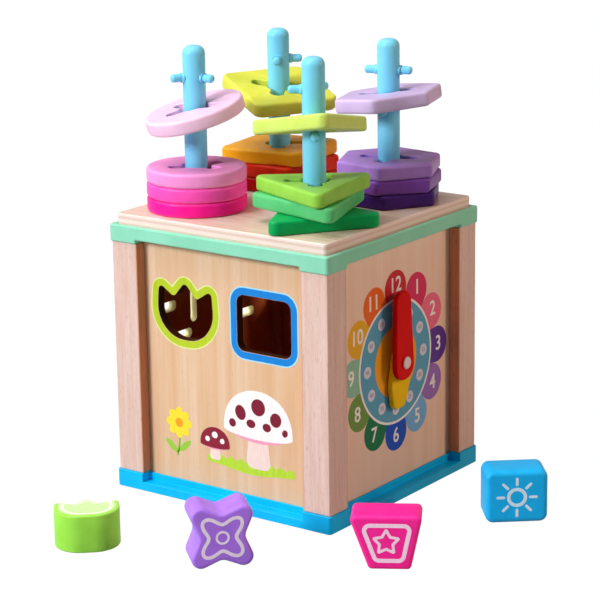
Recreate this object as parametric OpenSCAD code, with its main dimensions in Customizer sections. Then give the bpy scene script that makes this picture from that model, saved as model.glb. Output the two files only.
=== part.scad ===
// Shape sorter: a posting box with a clock face, and a lid that carries four pegs of stacking pieces.
// Millimetres, +Z up. Origin: centre of the underside. The front panel faces -Y and the clock faces +X.

/* [Box] */
// Outer width of the base ring and the top ring
ring_w = 136; // [134:0.5:140]
// Height from the underside to the top of the top ring
box_h = 140; // [120:1:170]
// Height of the corner blocks that hold the posts
block_h = 9; // [8.5:0.5:12]
// Side of a square corner post
post_w = 16; // [15.5:0.5:16.5]
// How far the posts stand back from the rings
post_set = 1; // [0.8:0.1:1.2]
// Thickness of the side panels
panel_t = 5; // [4:0.25:5]
// How far the panels stand back from the post faces
panel_set = 6.5; // [6.3:0.1:6.7]
// Height of the base ring's outer rails
base_rail_h = 4.5; // [3:0.25:5]
// Height of the top ring's rails
top_rail_h = 7; // [6.5:0.25:8]

/* [Lid and pegs] */
// Width of the lid board
lid_w = 130; // [128:0.5:130]
// Thickness of the lid board
lid_t = 8; // [6:0.5:10]
// Depth of the seat for the lid in the top ring
lid_seat = 2.5; // [2:0.1:3]
// Sideways distance of the pegs from the middle
peg_x = 35.5; // [34.5:0.1:36]
// Front to back distance of the pegs from the middle
peg_y = 34.5; // [34.5:0.1:36]
// Diameter of a peg
peg_d = 11.5; // [10:0.25:12]
// Height of a peg above the lid
peg_h = 83.5; // [80:0.5:90]
// Diameter of the pins in the pegs
pin_d = 4.2; // [3:0.1:4.2]
// Reach of a pin from the middle of its peg
pin_reach = 12.5; // [10:0.1:12.8]
// Height of the upper pins above the lid
upper_pin_h = 67.5; // [66:0.5:69]

/* [Stacking pieces] */
// Thickness of a stacking piece
piece_t = 7.5; // [6:0.1:7.5]
// Diameter of a disc
disc_d = 51; // [44:0.5:54]
// Side of a square piece
square_w = 47.5; // [42:0.5:48]
// Side of a triangle before its corners are rounded
triangle_w = 62.5; // [60:0.5:64]
// Distance across the corners of a hexagon before they are rounded
hexagon_d = 57; // [50:0.5:60]
// Diameter of the hole in a piece
piece_hole_d = 15; // [15:0.1:16]
// Width of the slots that pass the pins
slot_w = 7.2; // [7.2:0.1:8]
// Reach of the slots from the middle of the hole
slot_reach = 15; // [15:0.1:15.4]

/* [Clock] */
// Height of the clock spindle
clock_z = 71.5; // [60:0.5:80]
// Diameter of the clock spindle
spindle_d = 4; // [3:0.1:5]
// Thickness of a clock hand
hand_t = 3; // [2:0.1:3]

/* [Loose blocks] */
// Thickness of a loose block
block_t = 20; // [16:0.5:24]
// Size of a posting hole over the size of its block
hole_play = 1.09; // [1.06:0.01:1.1]

/* [Hidden] */
$fn = 64;
play = 0.2;
half = ring_w / 2;
ring_corner_r = 1.8;
block_w = post_w + post_set;
post_c = half - post_set - post_w / 2;
post_in = post_c - post_w / 2;
tenon_w = 8;
tenon_h = 4.2;
panel_out = half - post_set - panel_set;
panel_in = panel_out - panel_t;
groove_d = 3;
panel_half = post_in + groove_d - play;
panel_low = 5.5;
panel_high = box_h - 5;
bed_h = 8.3;
bed_out = panel_out + 1.2;
ring_in = post_in + 1;
floor_half = post_in + 2.2;
floor_t = 4;
screw_d = 3.4;
screw_head_d = 7;
screw_l = 22;
seat_z = box_h - lid_seat;
lid_top = seat_z + lid_t;
seat_half = lid_w / 2 + 0.3;
peg_top = lid_top + peg_h;
tenon_d = 8;
upper_pin_z = lid_top + upper_pin_h;
spacer_t = 0.8;
washer_t = 0.3;
hour_x = panel_out + spacer_t;
minute_x = hour_x + hand_t + washer_t;
cap_x = minute_x + hand_t + washer_t;
// How far the hole of each peg is drilled off its place: discs, squares, triangles, hexagons
peg_drift = [[-0.8, -0.6], [0.2, 0.2], [1, 0.7], [-0.7, -0.5]];
// Places of the pegs: discs, squares, triangles, hexagons
peg_at = [[-peg_x, -peg_y], [-peg_x, peg_y], [peg_x, -peg_y], [peg_x, peg_y]] + peg_drift;
// Directions of the two upper pins of each peg
upper_pins = [[-122, -2], [-59, 41], [-146, 96], [-161, 19]];
// Direction of the lower pin of each peg, which a piece with no slot there rests on
lower_pin = [71, 128, -52, -76];
// Height of each lower pin above the lid
lower_pin_h = [44.7, 45.3, 45.7, 46.7];
// Direction of the third slot of each raised piece
raised_slot = [165, -154, -1, 104];
// Turn of the stacked pieces of each peg, from the lid up
stack_turn = [[0, 0, 0], [4, -2, 7.5], [24, -41.5, -51.5], [-2, -10, -6]];
// Turn, height of the middle above the lid, tilt and raised side of each raised piece
raised = [[0, 49.1, 15, 53], [-117.7, 49.9, 13, 150], [-166, 50.3, 13.1, -47], [-131.5, 52.7, 7.2, 14]];

// Unit vector from one point to another
function aim(p, q) = (q - p) / norm(q - p);

// Points of the arc that rounds corner p between its neighbours a and b
function corner_arc(a, p, b, r, steps) =
  let(u = aim(p, a), v = aim(p, b), h = acos(u * v) / 2)
  let(c = p + (u + v) / norm(u + v) * r / sin(h))
  let(s = p + u * r / tan(h) - c, e = p + v * r / tan(h) - c)
  let(from = atan2(s[1], s[0]), raw = atan2(e[1], e[0]) - from)
  let(sweep = raw > 180 ? raw - 360 : raw < -180 ? raw + 360 : raw)
  [for (k = [0 : steps]) c + r * [cos(from + sweep * k / steps), sin(from + sweep * k / steps)]];

// Outline with corner i rounded to radius radii[i]
function rounded(pts, radii, steps = 8) =
  let(n = len(pts))
  [for (i = [0 : n - 1]) each corner_arc(pts[(i + n - 1) % n], pts[i], pts[(i + 1) % n], radii[i], steps)];

// Regular polygon with its first corner on +X and every corner rounded
function rounded_regular(n, corner_r, r) =
  rounded([for (i = [0 : n - 1]) corner_r * [cos(360 * i / n), sin(360 * i / n)]], [for (i = [0 : n - 1]) r]);

// Rectangle round the origin with every corner rounded
function rounded_box(w, h, r) =
  rounded([[-w / 2, -h / 2], [w / 2, -h / 2], [w / 2, h / 2], [-w / 2, h / 2]], [r, r, r, r]);

function lowest(pts) = min([for (p = pts) p[1]]);

// Tulip with three petal tips and a round bowl
tulip_outline = rounded(
  [[-16.6, -12.6], [16.6, -12.6], [15.6, 9.4], [6.6, 4.6], [0, 12.2], [-6.6, 4.6], [-15.6, 9.4]],
  [13.2, 13.2, 1.6, 2.2, 1.8, 2.2, 1.6]);

// The tulip's hole is cut taller than the block
tulip_hole = rounded(
  [[-17.3, -13.3], [17.3, -13.3], [15.3, 12.3], [6.6, 6.6], [0, 14.3], [-6.6, 6.6], [-15.3, 12.3]],
  [14.6, 14.6, 1.8, 2.2, 2, 2.2, 1.8]);

// Butterfly with four round wings and a notch on every side
butterfly_outline = rounded(
  [[-19.1, -19.3], [0, -11.2], [19.1, -19.3], [10.9, 0], [19.1, 19.3], [0, 11.2], [-19.1, 19.3], [-10.9, 0]],
  [4.7, 5, 4.7, 5, 4.7, 5, 4.7, 5]);

// Trapezoid with its wide side up, leaning out further on the left
trapezoid_outline = rounded([[-9.9, -13.3], [9.9, -13.3], [15.6, 13.3], [-19.6, 13.3]], [2.2, 2.2, 2.6, 2.6]);

square_outline = rounded_box(31, 27, 4);
square_hole = rounded_box(30.5, 26.5, 4);

// Box from one corner to the opposite corner
module span(low, high) {
  translate(low)
    cube(high - low);
}

// Copies at the four posts
module at_posts() {
  for (x = [-1, 1], y = [-1, 1])
    translate([x * post_c, y * post_c, 0])
      children();
}

// The corner blocks of a ring, from z1 to z2
module ring_blocks(z1, z2) {
  intersection() {
    translate([0, 0, z1])
      linear_extrude(z2 - z1)
        polygon(rounded_box(ring_w, ring_w, ring_corner_r));
    union() {
      for (x = [-1, 1], y = [-1, 1])
        translate([x * half, y * half, (z1 + z2) / 2])
          cube([2 * block_w, 2 * block_w, z2 - z1 + 2], center = true);
    }
  }
}

// The grooves of a ring for the four panels, from z1 to z2
module panel_grooves(z1, z2) {
  for (turn = [0 : 90 : 270])
    rotate([0, 0, turn])
      span([-post_in - groove_d, panel_in - 0.1, z1], [post_in + groove_d, panel_out + 0.1, z2]);
}

module base_frame() {
  color("deepskyblue")
    difference() {
      union() {
        linear_extrude(base_rail_h)
          polygon(rounded_box(ring_w, ring_w, ring_corner_r));
        span([-bed_out, -bed_out, 0], [bed_out, bed_out, bed_h]);
        ring_blocks(0, block_h);
      }
      span([-ring_in, -ring_in, -1], [ring_in, ring_in, block_h + 1]);
      span([-floor_half - play, -floor_half - play, -1], [floor_half + play, floor_half + play, floor_t]);
      panel_grooves(panel_low - play, block_h + 1);
      at_posts() {
        translate([-tenon_w / 2 - 0.1, -tenon_w / 2 - 0.1, block_h - tenon_h - play])
          cube([tenon_w + play, tenon_w + play, tenon_h + 1]);
        translate([0, 0, -1])
          cylinder(d = screw_d + 0.4, h = block_h);
        cylinder(d1 = screw_head_d, d2 = screw_d + 0.4, h = (screw_head_d - screw_d) / 2);
      }
    }
}

module floor_board() {
  color("burlywood")
    span([-floor_half, -floor_half, 0], [floor_half, floor_half, floor_t]);
}

// Corner post at the side x and y of the box, with a groove for each of its two panels
module corner_post(x, y) {
  low = block_h;
  high = box_h - block_h;
  color("bisque")
    difference() {
      translate([x * post_c, y * post_c, 0])
        union() {
          span([-post_w / 2, -post_w / 2, low], [post_w / 2, post_w / 2, high]);
          span([-tenon_w / 2, -tenon_w / 2, low - tenon_h], [tenon_w / 2, tenon_w / 2, high + tenon_h]);
        }
      mirror([x < 0 ? 1 : 0, 0, 0])
        mirror([0, y < 0 ? 1 : 0, 0]) {
          span([post_in - 1, panel_in - 0.1, low - 1], [post_in + groove_d, panel_out + 0.1, high + 1]);
          span([panel_in - 0.1, post_in - 1, low - 1], [panel_out + 0.1, post_in + groove_d, high + 1]);
        }
      translate([x * post_c, y * post_c, 0]) {
        cylinder(d = screw_d, h = screw_l + 1);
        translate([0, 0, seat_z - screw_l - 1])
          cylinder(d = screw_d, h = screw_l + 2);
      }
    }
}

// Plain panel in the front position, facing -Y
module plain_panel() {
  span([-panel_half, -panel_out, panel_low], [panel_half, -panel_in, panel_high]);
}

// Posting hole through a panel in the front position
module posting_hole(x, z, outline) {
  translate([x, -panel_in + 1, z])
    rotate([90, 0, 0])
      linear_extrude(panel_t + 2)
        polygon(outline * hole_play);
}

module front_panel() {
  color("burlywood")
    difference() {
      plain_panel();
      posting_hole(-25.6, 97.6, tulip_hole);
      posting_hole(23.8, 97.6, square_hole);
    }
}

module right_panel() {
  color("burlywood")
    difference() {
      rotate([0, 0, 90])
        plain_panel();
      translate([panel_in - 1, 0, clock_z])
        rotate([0, 90, 0])
          cylinder(d = spindle_d, h = panel_t + 2);
    }
}

module back_panel() {
  color("burlywood")
    rotate([0, 0, 180])
      difference() {
        plain_panel();
        posting_hole(-25.8, 97.6, butterfly_outline);
        posting_hole(26.3, 97.6, trapezoid_outline);
      }
}

// Guide slot with round ends through a panel in the front position, round the point x, z
module guide_slot(x, z, w, h) {
  translate([x, -panel_in + 1, z])
    rotate([90, 0, 0])
      linear_extrude(panel_t + 2)
        polygon(rounded_box(w, h, 2.5));
}

module left_panel() {
  color("burlywood")
    rotate([0, 0, -90])
      difference() {
        plain_panel();
        guide_slot(39.4, 90.9, 16.6, 5.6);
        guide_slot(16.5, 92, 5.2, 26.8);
        guide_slot(26.6, 73.3, 16.4, 5.2);
        guide_slot(-23.8, 73.3, 23.6, 5.2);
      }
}

module top_frame() {
  color("aquamarine")
    difference() {
      union() {
        translate([0, 0, box_h - top_rail_h])
          linear_extrude(top_rail_h)
            polygon(rounded_box(ring_w, ring_w, ring_corner_r));
        ring_blocks(box_h - block_h, box_h);
      }
      span([-ring_in, -ring_in, box_h - block_h - 1], [ring_in, ring_in, box_h + 1]);
      translate([0, 0, seat_z])
        linear_extrude(lid_seat + 1)
          polygon(rounded_box(2 * seat_half, 2 * seat_half, 2.3));
      panel_grooves(box_h - block_h - 1, panel_high + play);
      at_posts() {
        translate([-tenon_w / 2 - 0.1, -tenon_w / 2 - 0.1, box_h - block_h - 1])
          cube([tenon_w + play, tenon_w + play, tenon_h + 1 + play]);
        translate([0, 0, box_h - block_h - 1])
          cylinder(d = screw_d + 0.4, h = block_h + 2);
        translate([0, 0, seat_z - (screw_head_d - screw_d) / 2])
          cylinder(d1 = screw_d + 0.4, d2 = screw_head_d, h = (screw_head_d - screw_d) / 2);
      }
    }
}

// Countersunk screw with its head down at the origin
module screw() {
  head_h = (screw_head_d - screw_d) / 2;
  difference() {
    union() {
      cylinder(d1 = screw_head_d - 0.4, d2 = screw_d, h = head_h);
      cylinder(d = screw_d, h = screw_l - 2);
      translate([0, 0, screw_l - 2])
        cylinder(d1 = screw_d, d2 = 0.8, h = 2);
    }
    for (turn = [0, 90])
      rotate([0, 0, turn])
        translate([-1.8, -0.4, -1])
          cube([3.6, 0.8, 2]);
  }
}

module base_screws() {
  color("silver")
    at_posts()
      screw();
}

module top_screws() {
  color("silver")
    at_posts()
      translate([0, 0, seat_z])
        mirror([0, 0, 1])
          screw();
}

module clock_spindle() {
  color("white")
    translate([0, 0, clock_z])
      rotate([0, 90, 0]) {
        translate([0, 0, panel_in - 3])
          cylinder(d = spindle_d, h = cap_x - panel_in + 4);
        translate([0, 0, cap_x])
          cylinder(d = 6.4, h = 0.8);
        translate([0, 0, panel_in - 3])
          cylinder(d = 9, h = 3);
      }
}

// Flat ring on the spindle, from x on, of thickness t
module washer(x, t) {
  translate([x, 0, clock_z])
    rotate([0, 90, 0])
      difference() {
        cylinder(d = 9, h = t);
        translate([0, 0, -1])
          cylinder(d = spindle_d + 0.1, h = t + 2);
      }
}

module spindle_washers() {
  color("silver")
    washer(panel_out, spacer_t - 0.1);
}

// Clock hand from x on, with its outline pointing up and the spindle at the outline's origin
module hand(x, outline, turn) {
  translate([x, 0, clock_z])
    rotate([turn, 0, 0])
      rotate([90, 0, 90])
        difference() {
          linear_extrude(hand_t)
            polygon(outline);
          translate([0, 0, -1])
            cylinder(d = spindle_d + 0.1, h = hand_t + 2);
        }
}

module hour_hand() {
  color("gold")
    hand(hour_x, rounded([[-6, -6.5], [4.4, -6.5], [7.5, 12], [4.9, 24.6], [-5.2, 24.6], [-9.4, 12]],
                         [4.6, 4.6, 8, 4.2, 4.2, 8]), 178);
}

module minute_hand() {
  color("red")
    hand(minute_x, rounded([[-9.2, -9], [8, -9], [6.4, 37.2], [-6.2, 37.2]], [7.8, 7.8, 5.4, 5.4]), 2.4);
}

module lid_board() {
  color("wheat")
    difference() {
      translate([0, 0, seat_z])
        linear_extrude(lid_t)
          polygon(rounded_box(lid_w, lid_w, 2));
      for (p = peg_at)
        translate([p[0], p[1], seat_z - 1])
          cylinder(d = tenon_d, h = lid_t + 2);
    }
}

// Cylinder from the middle of peg k outwards along a pin's direction, from radius r1 to r2
module pin_rod(k, turn, z, r1, r2) {
  translate([peg_at[k][0], peg_at[k][1], z])
    rotate([0, 90, turn])
      translate([0, 0, r1])
        cylinder(d = pin_d, h = r2 - r1);
}

// Peg k: a dowel with a rounded top, a tenon in the lid and a hole for each pin
module peg(k) {
  r = peg_d / 2;
  dome = 3;
  color("skyblue")
    difference() {
      translate([peg_at[k][0], peg_at[k][1], 0]) {
        translate([0, 0, seat_z + 0.1])
          cylinder(d = tenon_d, h = lid_t);
        rotate_extrude()
          polygon(concat(
            [[0, lid_top], [r, lid_top]],
            [for (a = [0 : 10 : 90]) [r - dome + dome * cos(a), peg_top - dome + dome * sin(a)]],
            [[0, peg_top]]));
      }
      for (turn = upper_pins[k])
        pin_rod(k, turn, upper_pin_z, 2, r + 1);
      pin_rod(k, lower_pin[k], lid_top + lower_pin_h[k], 2, r + 1);
    }
}

// One pin of peg k, with a round end
module pin(k, turn, z) {
  pin_rod(k, turn, z, 2, pin_reach - pin_d / 2);
  translate([peg_at[k][0], peg_at[k][1], z])
    rotate([0, 90, turn])
      translate([0, 0, pin_reach - pin_d / 2])
        sphere(d = pin_d);
}

module pins(k) {
  color("lightskyblue") {
    for (turn = upper_pins[k])
      pin(k, turn, upper_pin_z);
    pin(k, lower_pin[k], lid_top + lower_pin_h[k]);
  }
}

// Slot from inside the hole outwards along +X, with a rounded end
slot_start = piece_hole_d / 3;
slot_outline = rounded(
  [[slot_start, -slot_w / 2], [slot_reach, -slot_w / 2], [slot_reach, slot_w / 2], [slot_start, slot_w / 2]],
  [0.1, slot_w / 2 - 0.1, slot_w / 2 - 0.1, 0.1]);

// Bore of a stacking piece
module piece_bore() {
  cylinder(d = piece_hole_d, h = 2 * piece_t, center = true);
}

// One slot of a stacking piece, for the pin in the direction turn
module piece_slot(turn) {
  rotate([0, 0, turn])
    translate([0, 0, -piece_t])
      linear_extrude(2 * piece_t)
        polygon(slot_outline);
}

// Stacked piece n on peg k: child is the solid outline, centred on its mid-plane
module stacked(k, n) {
  translate([peg_at[k][0], peg_at[k][1], lid_top + (n - 0.5) * piece_t])
    difference() {
      rotate([0, 0, stack_turn[k][n - 1]])
        children();
      piece_bore();
      piece_slot(upper_pins[k][0]);
      piece_slot(upper_pins[k][1]);
      piece_slot(lower_pin[k]);
    }
}

// Raised piece on peg k: tilted, because it rests on the lower pin
module raised_piece(k) {
  r = raised[k];
  translate([peg_at[k][0], peg_at[k][1], lid_top + r[1]])
    rotate(a = r[2], v = [sin(r[3]), -cos(r[3]), 0])
      difference() {
        rotate([0, 0, r[0]])
          children();
        piece_bore();
        piece_slot(upper_pins[k][0]);
        piece_slot(upper_pins[k][1]);
        piece_slot(raised_slot[k]);
      }
}

// Flat plate of an outline, centred on its mid-plane
module plate(outline) {
  translate([0, 0, -piece_t / 2])
    linear_extrude(piece_t)
      polygon(outline);
}

module disc_solid() {
  cylinder(d = disc_d, h = piece_t, center = true);
}

module square_solid() {
  plate(rounded_box(square_w, square_w, 5));
}

module triangle_solid() {
  plate(rounded_regular(3, triangle_w / sqrt(3), 4));
}

module hexagon_solid() {
  plate(rounded_regular(6, hexagon_d / 2, 3));
}

// Loose block that stands on edge with its face turned to the direction turn
module standing_block(x, y, turn, outline) {
  translate([x, y, -lowest(outline)])
    rotate([90, 0, turn + 90])
      translate([0, 0, -block_t / 2])
        linear_extrude(block_t)
          polygon(outline);
}

module tulip_block() {
  color("yellowgreen")
    translate([-23.5, -142.9, 0])
      rotate([0, 0, 42.2])
        linear_extrude(block_t - 0.8)
          polygon(tulip_outline);
}

module butterfly_block() {
  color("mediumpurple")
    standing_block(43.2, -124.4, -41.8, butterfly_outline);
}

module trapezoid_block() {
  color("deeppink")
    standing_block(112, -81, -58.5, trapezoid_outline);
}

module square_block() {
  color("dodgerblue")
    standing_block(128, 5.5, -50, square_outline);
}

base_frame();
floor_board();
corner_post(-1, -1);  // corner_post_fl
corner_post(1, -1);  // corner_post_fr
corner_post(-1, 1);  // corner_post_bl
corner_post(1, 1);  // corner_post_br
front_panel();
right_panel();
back_panel();
left_panel();
top_frame();
base_screws();
top_screws();
clock_spindle();
spindle_washers();
hour_hand();
minute_hand();
lid_board();
peg(0);  // peg_discs
peg(1);  // peg_squares
peg(2);  // peg_triangles
peg(3);  // peg_hexagons
pins(0);  // pins_discs
pins(1);  // pins_squares
pins(2);  // pins_triangles
pins(3);  // pins_hexagons
color("deeppink") stacked(0, 1) disc_solid();  // disc_1
color("hotpink") stacked(0, 2) disc_solid();  // disc_2
color("orchid") stacked(0, 3) disc_solid();  // disc_3
color("pink") raised_piece(0) disc_solid();  // disc_4
color("darkred") stacked(1, 1) square_solid();  // square_1
color("firebrick") stacked(1, 2) square_solid();  // square_2
color("goldenrod") stacked(1, 3) square_solid();  // square_3
color("khaki") raised_piece(1) square_solid();  // square_4
color("seagreen") stacked(2, 1) triangle_solid();  // triangle_1
color("lightgreen") stacked(2, 2) triangle_solid();  // triangle_2
color("yellowgreen") stacked(2, 3) triangle_solid();  // triangle_3
color("greenyellow") raised_piece(2) triangle_solid();  // triangle_4
color("indigo") stacked(3, 1) hexagon_solid();  // hexagon_1
color("rebeccapurple") stacked(3, 2) hexagon_solid();  // hexagon_2
color("mediumpurple") stacked(3, 3) hexagon_solid();  // hexagon_3
color("thistle") raised_piece(3) hexagon_solid();  // hexagon_4
tulip_block();
butterfly_block();
trapezoid_block();
square_block();
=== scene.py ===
import bmesh
import bpy
import numpy as np
from mathutils import Matrix, Vector


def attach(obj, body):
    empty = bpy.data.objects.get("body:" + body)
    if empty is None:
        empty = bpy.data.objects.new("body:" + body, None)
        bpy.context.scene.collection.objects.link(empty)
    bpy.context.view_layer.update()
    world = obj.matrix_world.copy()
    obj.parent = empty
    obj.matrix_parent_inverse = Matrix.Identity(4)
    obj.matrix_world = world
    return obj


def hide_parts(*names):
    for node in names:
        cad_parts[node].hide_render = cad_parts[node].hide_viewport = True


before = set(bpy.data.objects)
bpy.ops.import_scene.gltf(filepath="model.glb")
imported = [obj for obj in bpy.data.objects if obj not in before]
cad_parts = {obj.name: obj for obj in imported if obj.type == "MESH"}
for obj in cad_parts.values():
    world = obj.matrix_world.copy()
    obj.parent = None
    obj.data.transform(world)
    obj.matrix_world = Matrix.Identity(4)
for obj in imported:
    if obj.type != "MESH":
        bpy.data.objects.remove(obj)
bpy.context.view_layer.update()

# Base ring: a moulded ring of blue ABS on which the box stands. Four corner blocks hold the posts,
# a raised bed between them takes the panels, and thin rails run along the outside.

MM = 0.001  # sizes are written in millimetres, and a pattern's scale as 1000 over its size


def linear(code):
    """An sRGB hex code as linear RGBA: the sRGB curve undone for each channel."""
    srgb = np.array([int(code[k:k + 2], 16) for k in (1, 3, 5)]) / 255
    return (*np.where(srgb <= 0.04045, srgb / 12.92, ((srgb + 0.055) / 1.055) ** 2.4), 1.0)


def add(tree, kind, inputs=None, **settings):
    """Adds one shader node: settings are its properties, inputs its sockets; a socket given is linked."""
    node = tree.nodes.new("ShaderNode" + kind)
    for key, value in settings.items():
        setattr(node, key, value)
    for key, value in (inputs or {}).items():
        if isinstance(value, bpy.types.NodeSocket):
            tree.links.new(value, node.inputs[key])
        else:
            node.inputs[key].default_value = value
    return node


def finish(name, **surface):
    """A new material with its tree and its shader, whose constant sockets are set directly."""
    material = bpy.data.materials.new(name)
    material.use_nodes = True
    shader = material.node_tree.nodes["Principled BSDF"]
    for key, value in surface.items():
        shader.inputs[key.replace("_", " ")].default_value = value
    return material, material.node_tree, shader


def wire(tree, shader, **ends):
    """Links each given socket to the shader's input of that name."""
    for key, socket in ends.items():
        tree.links.new(socket, shader.inputs[key.replace("_", " ")])


def moulded_abs(name, colour, shade, roughness):
    """ABS from a spark-eroded mould: even colour with faint flow clouds, a satin gloss, and a pebbled
    skin of about 0.5 mm, drawn that coarse so that it shows."""
    material, tree, shader = finish(name, IOR=1.54, Specular_IOR_Level=0.15)
    place = add(tree, "TexCoord").outputs["Object"]
    clouds = add(tree, "TexNoise", {"Vector": place, "Scale": 1000 / 18, "Detail": 3.0})
    flow = add(tree, "MapRange", {"Value": clouds.outputs[0], "From Min": 0.3, "From Max": 0.7})
    tint = add(tree, "Mix", {
        0: flow.outputs[0], 6: linear(shade), 7: linear(colour)}, data_type="RGBA")
    skin = add(tree, "TexNoise", {"Vector": place, "Scale": 1000 / 0.5, "Detail": 2.0})
    gloss = add(tree, "MapRange", {
        "Value": clouds.outputs[0], "To Min": roughness - 0.05, "To Max": roughness + 0.05})
    relief = add(tree, "Bump", {"Height": skin.outputs[0], "Strength": 0.12, "Distance": 0.06 * MM})
    wire(tree, shader, Base_Color=tint.outputs[2], Roughness=gloss.outputs[0], Normal=relief.outputs[0])
    return material


def placed(name, mesh, body):
    """A piece of this mesh at the origin, with its place in its mesh, that moves with a body."""
    piece = bpy.data.objects.new(name, mesh)
    bpy.context.scene.collection.objects.link(piece)
    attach(piece, body)
    return piece


def softened(node, name, body, round_mm, material):
    """A CAD node with its edges broken: a copy of its triangles is merged, flat neighbours are joined
    to whole faces, and a Bevel rounds every edge sharper than 35 degrees by round_mm."""
    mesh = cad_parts[node].data.copy()
    mesh.name = name
    work = bmesh.new()
    work.from_mesh(mesh)
    bmesh.ops.remove_doubles(work, verts=work.verts, dist=1e-6)
    bmesh.ops.dissolve_limit(work, angle_limit=0.008, verts=work.verts, edges=work.edges)
    work.to_mesh(mesh)
    work.free()
    if "custom_normal" in mesh.attributes:
        mesh.attributes.remove(mesh.attributes["custom_normal"])
    mesh.shade_smooth()
    mesh.materials.clear()
    mesh.materials.append(material)
    piece = placed(name, mesh, body)
    edge = piece.modifiers.new("edge_round", "BEVEL")
    edge.width = round_mm * MM
    edge.segments = 3
    edge.limit_method = "ANGLE"
    edge.angle_limit = np.radians(35)
    edge.use_clamp_overlap = False
    edge.harden_normals = True
    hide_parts(node)


ring_blue = moulded_abs("abs_satin_blue", "#02C2FB", "#02B2F0", 0.36)
softened("base_frame", "base_ring", "box", 0.3, ring_blue)

# Floor board: a thin plywood sheet let into the base ring from below, clear lacquered.
# It closes the box, so that posted blocks stay inside.


def sawn_wood(name, pale, mid, dark, streak_mm, fleck, along, roughness):
    """Planed light wood under clear lacquer: streaks that run with the grain along one axis, broad
    ones over fine ones, short dark flecks 0.5 mm wide, and a faint ribbed relief in the lacquer."""
    material, tree, shader = finish(name, IOR=1.5, Specular_IOR_Level=0.2)
    place = add(tree, "TexCoord").outputs["Object"]
    runs = streak_mm * 22  # length of a broad streak
    streaks = []
    for wide_mm, long_mm, detail, rough in ((streak_mm, runs, 4.0, 0.6), (streak_mm / 6, runs / 3, 3.0, 0.5),
                                            (0.55, 4.5, 1.0, 0.5)):
        size = Vector([1000 / wide_mm] * 3)
        size[along] = 1000 / long_mm
        grain = add(tree, "Mapping", {"Vector": place, "Scale": size})
        streaks.append(add(tree, "TexNoise", {
            "Vector": grain.outputs[0], "Scale": 1.0, "Detail": detail, "Roughness": rough}))
    broad, fine, spots = streaks
    spot = add(tree, "MapRange", {
        "Value": spots.outputs[0], "From Min": 0.62, "From Max": 0.74, "To Max": fleck})
    wide = add(tree, "MapRange", {"Value": broad.outputs[0], "From Min": 0.32, "From Max": 0.68})
    base = add(tree, "Mix", {0: wide.outputs[0], 6: linear(mid), 7: linear(pale)}, data_type="RGBA")
    thin = add(tree, "MapRange", {
        "Value": fine.outputs[0], "From Min": 0.42, "From Max": 0.66, "To Max": 0.34})
    lined = add(tree, "Mix", {
        0: thin.outputs[0], 6: base.outputs[2], 7: linear(mid)}, data_type="RGBA")
    flecked = add(tree, "Mix", {
        0: spot.outputs[0], 6: lined.outputs[2], 7: linear(dark)}, data_type="RGBA")
    gloss = add(tree, "MapRange", {
        "Value": fine.outputs[0], "To Min": roughness - 0.07, "To Max": roughness + 0.07})
    relief = add(tree, "Bump", {"Height": fine.outputs[0], "Strength": 0.16, "Distance": 0.12 * MM})
    wire(tree, shader, Base_Color=flecked.outputs[2], Roughness=gloss.outputs[0], Normal=relief.outputs[0])
    return material


floor_ply = sawn_wood("plywood_lacquered_floor", "#F1D2AC", "#E6BE92", "#C08E60", 5.0, 0.35, 0, 0.5)
softened("floor_board", "floor_sheet", "box", 0.4, floor_ply)

# Corner posts: four square beech posts, planed and clear lacquered, with their tenons in the rings'
# corner blocks and a groove for each panel. Steamed beech is pinkish, with short darker rays.

POST_IN = 51  # the sides of the posts that face along the panels, mm from the middle of the box
post_beech = sawn_wood("beech_planed_lacquered", "#E2C8BE", "#D6B4A4", "#B08066", 1.7, 0.45, 2, 0.42)
# Those two sides, beside the panels, get painted shade and bounce light: a deeper orange where the nearer of
# both axes is POST_IN.
tree = post_beech.node_tree
shader = tree.nodes["Principled BSDF"]
planed = shader.inputs["Base Color"].links[0].from_socket
place = add(tree, "TexCoord").outputs["Object"]
from_middle = add(tree, "VectorMath", {0: place}, operation="ABSOLUTE")
axes = add(tree, "SeparateXYZ", {0: from_middle.outputs[0]})
nearer = add(tree, "Math", {0: axes.outputs[0], 1: axes.outputs[1]}, operation="MINIMUM")
inner = add(tree, "MapRange", {
    "Value": nearer.outputs[0], "From Min": (POST_IN + 0.1) * MM, "From Max": (POST_IN + 1.1) * MM,
    "To Min": 0.85, "To Max": 0.0})
# Painted shade and bounce light: the planed colour multiplied toward orange on those sides.
painted_recess_shade = add(tree, "Mix", {
    0: 0.9, 6: planed, 7: linear("#EE9A48")}, data_type="RGBA", blend_type="MULTIPLY")
coat = add(tree, "Mix", {0: inner.outputs[0], 6: planed, 7: painted_recess_shade.outputs[2]}, data_type="RGBA")
wire(tree, shader, Base_Color=coat.outputs[2])
for corner in ("fl", "fr", "bl", "br"):
    softened(f"corner_post_{corner}", f"post_{corner}", "box", 0.6, post_beech)

# Side panels: 5 mm plywood with a warm basswood face veneer, its grain upright, held in the grooves of
# posts and rings. The front and back panels have two posting holes each.

PANEL_IN, PANEL_OUT = 55.5, 60.5  # inner and outer face of the panels, mm from the middle of the box
panel_veneer = sawn_wood("basswood_veneer_lacquered", "#E6C8AA", "#DAB086", "#BC865A", 8.5, 0.25, 2, 0.4)
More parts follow.
